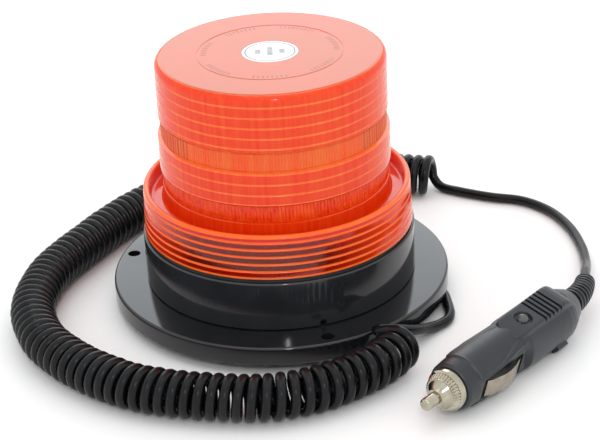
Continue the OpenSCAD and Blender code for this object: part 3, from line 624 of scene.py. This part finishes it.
def distance_out(tree, place):
    """The distance from the upright axis through the piece's origin, in metres."""
    flat = add(tree, "VectorMath", {0: place, 1: (1, 1, 0)}, operation="MULTIPLY").outputs[0]
    return add(tree, "VectorMath", {0: flat}, operation="LENGTH").outputs["Value"]


def plastic(name, code, worn, roughness, grain_mm, depth, spread=0.06, ior=1.5, shine=0.5):
    """Moulded plastic or rubber: two near colours in slow clouds, roughness that varies a little,
    and a fine bump of the mould's grain. The real grain is finer, and is drawn coarser to show."""
    material, tree, out, place = blank(name)
    clouds = noise(tree, place, 45.0, 3.0)
    grain = noise(tree, place, 1000 / grain_mm, 4.0)
    rub = noise(tree, place, 160.0, 6.0, 0.7)
    surface(tree, out, {
        "Base Color": blend_colour(tree, ramp(tree, clouds, 0.35, 0.65), linear(code), linear(worn)),
        "Roughness": ramp(tree, rub, 0.3, 0.75, roughness - spread / 2, roughness + spread),
        "IOR": ior, "Specular IOR Level": shine, "Normal": bump(tree, grain, depth, 0.0002)})
    return material


def metal(name, code, shade, roughness, grain_mm, depth, stretch=(1, 1, 1)):
    """Plated or drawn metal: a tarnish of near colours and fine drawn lines in the bump. The real
    lines are finer, and are drawn coarser to show."""
    material, tree, out, place = blank(name)
    pull = add(tree, "Mapping", {"Vector": place, "Scale": stretch}).outputs["Vector"]
    stain = noise(tree, place, 220.0, 4.0)
    lines = noise(tree, pull, 1000 / grain_mm, 3.0)
    surface(tree, out, {
        "Base Color": blend_colour(tree, ramp(tree, stain, 0.35, 0.7), linear(code), linear(shade)),
        "Metallic": 1.0, "Roughness": ramp(tree, stain, 0.3, 0.8, roughness * 0.8, roughness * 1.4),
        "Normal": bump(tree, lines, depth, 0.0001)})
    return material


def clear(name, code, rough):
    """Clear moulded resin or glass, with a faint waviness."""
    material, tree, out, place = blank(name)
    surface(tree, out, {
        "Base Color": linear(code), "Roughness": rough, "IOR": 1.5, "Transmission Weight": 0.9,
        "Normal": bump(tree, noise(tree, place, 300.0), 0.05, 0.0002)})
    return material


def amber(name, body, bright, see_through, streaks=1.0, tall=0.03, seam=False, shade_strips=False, window=False):
    """Clear amber polycarbonate, injection moulded: light scatters in the wall, so that it glows,
    and some passes straight through. Upright streaks are the prisms of the inner face. On two
    opposite sides the wider prisms carry painted shade: dark stripes for the darker view through
    them. A seam is the mould's parting line. A window is the clearer front of the collar, which
    shows the sheet of painted shade behind it."""
    material, tree, out, place = blank(name)
    pull = add(tree, "Mapping", {"Vector": place, "Scale": (1, 1, tall)}).outputs["Vector"]
    prisms = noise(tree, pull, 620.0, 3.0, 0.65)
    clouds = noise(tree, pull, 60.0)
    share = maths(tree, "MULTIPLY_ADD", ramp(tree, clouds, 0.35, 0.65), 0.35,
                  maths(tree, "MULTIPLY", ramp(tree, prisms, 0.36, 0.64), 0.65 * streaks))
    colour = blend_colour(tree, share, linear(body), linear(bright))
    angle = turn_angle(tree, place)
    if seam:
        seam_angle = -0.715
        off = maths(tree, "ABSOLUTE", maths(tree, "SUBTRACT", angle, seam_angle))
        colour = blend_colour(tree, ramp(tree, off, 0.003, 0.012, 0.32, 0.0), colour, linear("#C03414"))
    # Painted shade: dark stripes on the left and right sides of the band.
    if shade_strips:
        count = 150.0
        wave = ramp(tree, maths(tree, "SINE", maths(tree, "MULTIPLY", angle, count)), -0.1, 0.5)
        zone = ramp(tree, maths(tree, "ABSOLUTE", maths(tree, "COSINE", angle)), 0.73, 0.76)
        dark = maths(tree, "MULTIPLY", maths(tree, "MULTIPLY", wave, zone), 0.6)
        colour = blend_colour(tree, dark, colour, linear("#8A4428"))
    # The clearer front lets the dark sheet of painted shade behind the collar show through.
    if window:
        window_angle = -1.75
        off = maths(tree, "ABSOLUTE", maths(tree, "SUBTRACT", angle, window_angle))
        see_through = maths(tree, "ADD", see_through, ramp(tree, off, 0.5, 1.1, 0.68, 0.0))
    swirl = noise(tree, place, 25.0)
    rub = noise(tree, place, 240.0, 5.0)
    surface(tree, out, {
        "Base Color": colour, "Roughness": ramp(tree, rub, 0.35, 0.7, 0.06, 0.13), "IOR": 1.49,
        "Specular IOR Level": 0.33, "Normal": bump(tree, swirl, 0.05, 0.0006),
        "Subsurface Weight": 0.35, "Subsurface Radius": (1.0, 0.25, 0.06), "Subsurface Scale": 0.003,
        "Transmission Weight": see_through})
    return material


def moulded_top(name):
    """The lens's flat top: the same amber, with a faint ring of short raised dashes in seven
    groups round it, as generic moulded marks."""
    material, tree, out, place = blank(name)
    ring_r, dashes, groups = 0.0276, 92.0, 7.0
    near = maths(tree, "ABSOLUTE", maths(tree, "SUBTRACT", distance_out(tree, place), ring_r))
    belt = ramp(tree, near, 0.0009, 0.0013, 1.0, 0.0)
    angle = turn_angle(tree, place)
    dash = ramp(tree, maths(tree, "SINE", maths(tree, "MULTIPLY", angle, dashes)), 0.1, 0.5)
    group = ramp(tree, maths(tree, "SINE", maths(tree, "MULTIPLY", angle, groups)), -0.5, -0.3)
    mark = maths(tree, "MULTIPLY", maths(tree, "MULTIPLY", belt, dash), group)
    clouds = noise(tree, place, 40.0)
    colour = blend_colour(tree, ramp(tree, clouds, 0.35, 0.65), linear("#C4541A"), linear("#CC501A"))
    colour = blend_colour(tree, maths(tree, "MULTIPLY", mark, 0.75), colour, linear("#8A2E10"))
    rub = noise(tree, place, 240.0, 5.0)
    surface(tree, out, {
        "Base Color": colour, "Roughness": ramp(tree, rub, 0.35, 0.7, 0.08, 0.14), "IOR": 1.55,
        "Specular IOR Level": 0.4, "Normal": bump(tree, mark, 0.25, 0.0002),
        "Subsurface Weight": 0.2, "Subsurface Radius": (1.0, 0.25, 0.06), "Subsurface Scale": 0.003})
    return material


def printed_label(name):
    """Matt white film with a thin grey ring and three rows of short grey bars, as generic print."""
    material, tree, out, place = blank(name)
    ring_r, row_gap, row_half = 0.0103, 0.0050, 0.0011
    middle_half, outer_half = 0.0047, 0.0024
    bar_wave = 4600.0      # radians to the metre, so that the bars are 1.4 mm apart
    near = maths(tree, "ABSOLUTE", maths(tree, "SUBTRACT", distance_out(tree, place), ring_r))
    ring = ramp(tree, near, 0.00016, 0.0003, 1.0, 0.0)
    xyz = add(tree, "SeparateXYZ", {"Vector": place})
    side = maths(tree, "ABSOLUTE", xyz.outputs["X"])
    along = maths(tree, "ABSOLUTE", xyz.outputs["Y"])
    middle = maths(tree, "MULTIPLY", maths(tree, "LESS_THAN", side, row_half),
                   maths(tree, "LESS_THAN", along, middle_half))
    outer = maths(tree, "MULTIPLY", maths(tree, "COMPARE", side, row_gap, row_half),
                  maths(tree, "LESS_THAN", along, outer_half))
    wave = maths(tree, "SINE", maths(tree, "MULTIPLY", xyz.outputs["Y"], bar_wave))
    bars = maths(tree, "MULTIPLY", maths(tree, "MAXIMUM", middle, outer),
                 maths(tree, "GREATER_THAN", wave, -0.35))
    ink = maths(tree, "MULTIPLY", maths(tree, "MAXIMUM", ring, bars), 0.85)
    surface(tree, out, {
        "Base Color": blend_colour(tree, ink, linear("#ECEEEF"), linear("#343C48")), "Roughness": 0.42,
        "Normal": bump(tree, noise(tree, place, 2500.0), 0.05, 0.0001)})
    return material


# Plastics. In order: name, colour, worn colour, roughness, grain in mm, depth of its bump and,
# where they are not the usual ones, spread of the roughness, refraction index and specular level.
# Base disc: near black and polished, with a clear reflection.
gloss_abs = plastic("gloss_black_abs", "#141518", "#1C1D20", 0.07, 0.6, 0.02, 0.05, 1.54)
# Plug shell: dark slate with broad, soft highlights.
satin_abs = plastic("satin_slate_abs", "#1B2025", "#22282E", 0.36, 0.4, 0.06, 0.06, 1.52)
# Housing: polished charcoal, a little lighter than the disc.
housing_abs = plastic("gloss_housing_abs", "#1F2023", "#27282B", 0.08, 0.6, 0.02, 0.05, 1.54)
# Cord: near black, with a narrow soft highlight along every turn.
jacket = plastic("satin_pvc_jacket", "#0A0B0D", "#121316", 0.26, 0.5, 0.1, 0.08, 1.5, 0.24)
# Boot: dark grey and duller, so that its ribs read by their shadows.
boot_pvc = plastic("moulded_pvc_boot", "#181B1E", "#202427", 0.34, 0.4, 0.12, 0.08, 1.5, 0.4)
# Feet, grommets and seal: flat black with hardly any highlight.
foot_rubber = plastic("matt_neoprene", "#1C1D1F", "#26272A", 0.75, 0.3, 0.4, 0.1)
# Magnet: rough dark grey ceramic.
ferrite = plastic("sintered_ferrite", "#4A4A4E", "#58585C", 0.7, 0.25, 0.5, 0.1)
# Carrier plate: warm white and waxy.
white_nylon = plastic("moulded_white_nylon", "#E6E4DE", "#D9D6CF", 0.4, 0.6, 0.1, 0.1)
# Boards: a smooth coat of white or dark green, slightly glossy.
white_resist = plastic("white_solder_resist", "#ECEBE6", "#E2E0DA", 0.32, 0.8, 0.05, 0.06)
green_resist = plastic("green_solder_resist", "#1F5B3A", "#184A30", 0.3, 0.8, 0.05, 0.06)
# Lamps: smooth pale yellow.
led_phosphor = plastic("led_phosphor_resin", "#F7DB7A", "#F0CE5E", 0.25, 0.3, 0.05, 0.05)
# Capacitors: dark blue shrunk sleeve.
sleeve_pvc = plastic("capacitor_sleeve_pvc", "#222C46", "#1B2338", 0.4, 0.5, 0.05, 0.08)
# Chips, transistors and the collar's sheet of painted shade: dull black.
mould_epoxy = plastic("black_mould_epoxy", "#1B1C1E", "#232427", 0.5, 0.3, 0.2, 0.1)
# Terminal block: mid green, satin.
terminal_nylon = plastic("green_terminal_nylon", "#2F7D4C", "#276B40", 0.4, 0.5, 0.1, 0.08)
# Contact carrier: dark grey, satin.
carrier_nylon = plastic("grey_carrier_nylon", "#2E3033", "#383A3D", 0.45, 0.5, 0.1, 0.08)

# Metals. In order: name, colour, tarnished colour, roughness, lines in mm, their depth, stretch.
# Locking screw: dark grey with a dull shine.
blackened = metal("blackened_steel", "#2A2B2D", "#3A3B3D", 0.35, 0.3, 0.1)
# Screws, spring and pole plate: pale blue-grey, blurred reflections.
zinc_steel = metal("zinc_plated_steel", "#B9BCC0", "#9EA2A8", 0.28, 0.3, 0.1)
# Lamp tower: pale grey, with upright drawn lines.
aluminium = metal("anodised_aluminium", "#C9CCCF", "#BFC3C7", 0.35, 0.25, 0.15, (1, 1, 0.1))
# Standoffs: warm yellow.
brass = metal("turned_brass", "#C8A24A", "#B08C3A", 0.25, 0.2, 0.1)
# Inductor: dark red-brown wire.
copper = metal("enamelled_copper", "#8A3D1C", "#7A3316", 0.3, 0.3, 0.1)
# Nose cap, knurled ring, pin and fuse caps: warm grey with crisp reflections.
nickel = metal("bright_nickel_plate", "#BDB8A8", "#A59F8C", 0.16, 0.3, 0.08)
# Side contacts: the same plating on rolled strip, duller and darker.
spring_strip = metal("nickel_plated_strip", "#AEA396", "#978B7D", 0.26, 0.25, 0.15)

# The lens. In order: name, deep colour, bright colour, share of light that passes straight
# through and, where they are not the usual ones, strength of the streaks and how upright they are.
# Dome: red-orange with upright streaks of brighter orange, and a faint parting line.
dome_amber = amber("amber_polycarbonate_dome", "#FB3404", "#FF5016", 0.2, 1.2, seam=True)
# The dome's ring grooves: pale orange lines of painted highlight where they catch the light.
ring_highlight_amber = amber("amber_polycarbonate_ring_highlight", "#FF6428", "#FF8446", 0.1)
# Flat top: a browner and duller orange than the dome's.
top_amber = moulded_top("amber_polycarbonate_top")
# Collar: red-orange, clear enough in front to show the dark sheet of painted shade.
collar_amber = amber("amber_polycarbonate_collar", "#FF360A", "#FF4812", 0.25, 0.3, window=True)
# The collar's ring grooves: paler lines round it, a painted highlight.
collar_ring_highlight = amber("amber_polycarbonate_collar_ring_highlight", "#FF641C", "#FF7C34", 0.1, 0.3)
# Upper band of flutes: the brightest orange, with painted shade in dark stripes at the sides.
band_amber = amber("amber_polycarbonate_flutes", "#FF520E", "#FF742E", 0.15, shade_strips=True)
# Lower band: deep red with bright glints.
hatch_amber = amber("amber_polycarbonate_low_flutes", "#E82804", "#FF561A", 0.15, 1.2, 0.3)

# Label on the lens's top: flat white film.
label_film = printed_label("printed_label_film")
# Fuse and the plug's lamp window: colourless and clear, the second a little cloudy.
fuse_tube = clear("clear_soda_glass", "#F2F6F6", 0.03)
indicator_resin = clear("clear_indicator_resin", "#DDE3DE", 0.1)


def dress(node, material):
    """Gives a CAD node its material; its edges are welded and shaded smooth up to 30 degrees."""
    piece = cad[node]
    piece.data.materials.clear()
    piece.data.materials.append(material)
    piece.data.shade_smooth()
    weld = piece.modifiers.new("weld", "WELD")
    weld.merge_threshold = 0.00001
    split = piece.modifiers.new("edges", "EDGE_SPLIT")
    split.split_angle = math.radians(30)


node_materials = {
    "base_disc": gloss_abs, "foot_pad": foot_rubber, "ring_magnet": ferrite, "pole_plate": zinc_steel,
    "base_screws": zinc_steel, "cord_grommet": foot_rubber, "housing": housing_abs,
    "floor_grommet": foot_rubber, "locking_screw": blackened, "lens_seal": foot_rubber,
    "carrier_plate": white_nylon, "lens_screws": zinc_steel, "rating_label": label_film,
    "led_tower": aluminium, "led_boards": white_resist, "side_leds": led_phosphor,
    "tower_cap": white_resist, "top_leds": led_phosphor, "tower_screws": zinc_steel,
    "control_board": green_resist, "standoffs": brass, "board_screws": zinc_steel,
    "capacitors": sleeve_pvc, "inductor": copper, "transistors": mould_epoxy,
    "driver_chips": mould_epoxy, "terminal_block": terminal_nylon, "plug_screw": zinc_steel,
    "contact_carrier": carrier_nylon, "fuse_glass": fuse_tube, "fuse_caps": nickel,
    "pin_spring": zinc_steel, "nose_cap": nickel, "centre_pin": nickel,
    "indicator_board": green_resist, "indicator_lens": indicator_resin}
for node_name, node_material in node_materials.items():
    dress(node_name, node_material)
for piece, materials in (
        (cord, [jacket]), (boot, [boot_pvc]), (upper_flutes, [band_amber]), (lower_flutes, [hatch_amber]),
        (plug_shell, [satin_abs]), (knurl, [nickel]), (left_leaf, [spring_strip]),
        (right_leaf, [spring_strip]), (shade_sheet, [mould_epoxy]),
        (lens, [dome_amber, ring_highlight_amber, top_amber, collar_amber, collar_ring_highlight])):
    for piece_material in materials:
        piece.data.materials.append(piece_material)


# ---- studio ----

def make_studio():
    """Pale floor, white surroundings, a large panel behind, one overhead and a small key in front."""
    scene = bpy.context.scene
    scene.view_settings.view_transform = "Standard"
    mesh = bpy.data.meshes.new("floor")
    side, low = 4.0, -0.0002
    corners = [(-side, -side, low), (side, -side, low), (side, side, low), (-side, side, low)]
    mesh.from_pydata(corners, [], [(0, 1, 2, 3)])
    floor = bpy.data.objects.new("floor", mesh)
    scene.collection.objects.link(floor)
    material, tree, out = blank("pale_floor")[:3]
    surface(tree, out, {"Base Color": linear("#FAFAFA"), "Roughness": 0.85})
    floor.data.materials.append(material)
    world = bpy.data.worlds.new("surroundings")
    world.use_nodes = True
    background = world.node_tree.nodes["Background"]
    background.inputs["Color"].default_value = (1, 1, 1, 1)
    background.inputs["Strength"].default_value = 1.04
    scene.world = world
    for name, place, aim, size, power, tint in (
            ("back_panel", (0.0, 1.5, 0.84), (0, 0, 0.08), (1.4, 0.72), 5.0, (0.88, 0.95, 1.0)),
            ("overhead", (0.0, -0.1, 1.6), (0, 0, 0), (1.2, 1.0), 2.5, (1, 1, 1)),
            ("key", (0.05, -1.2, 1.0), (0, 0, 0.05), (0.06, 0.16), 2.4, (1, 1, 1))):
        data = bpy.data.lights.new(name, "AREA")
        data.shape = "RECTANGLE"
        data.size, data.size_y = size
        data.energy = power
        data.color = tint
        light = bpy.data.objects.new(name, data)
        scene.collection.objects.link(light)
        light.location = place
        light.rotation_euler = (Vector(aim) - Vector(place)).to_track_quat("-Z", "Y").to_euler()


make_studio()
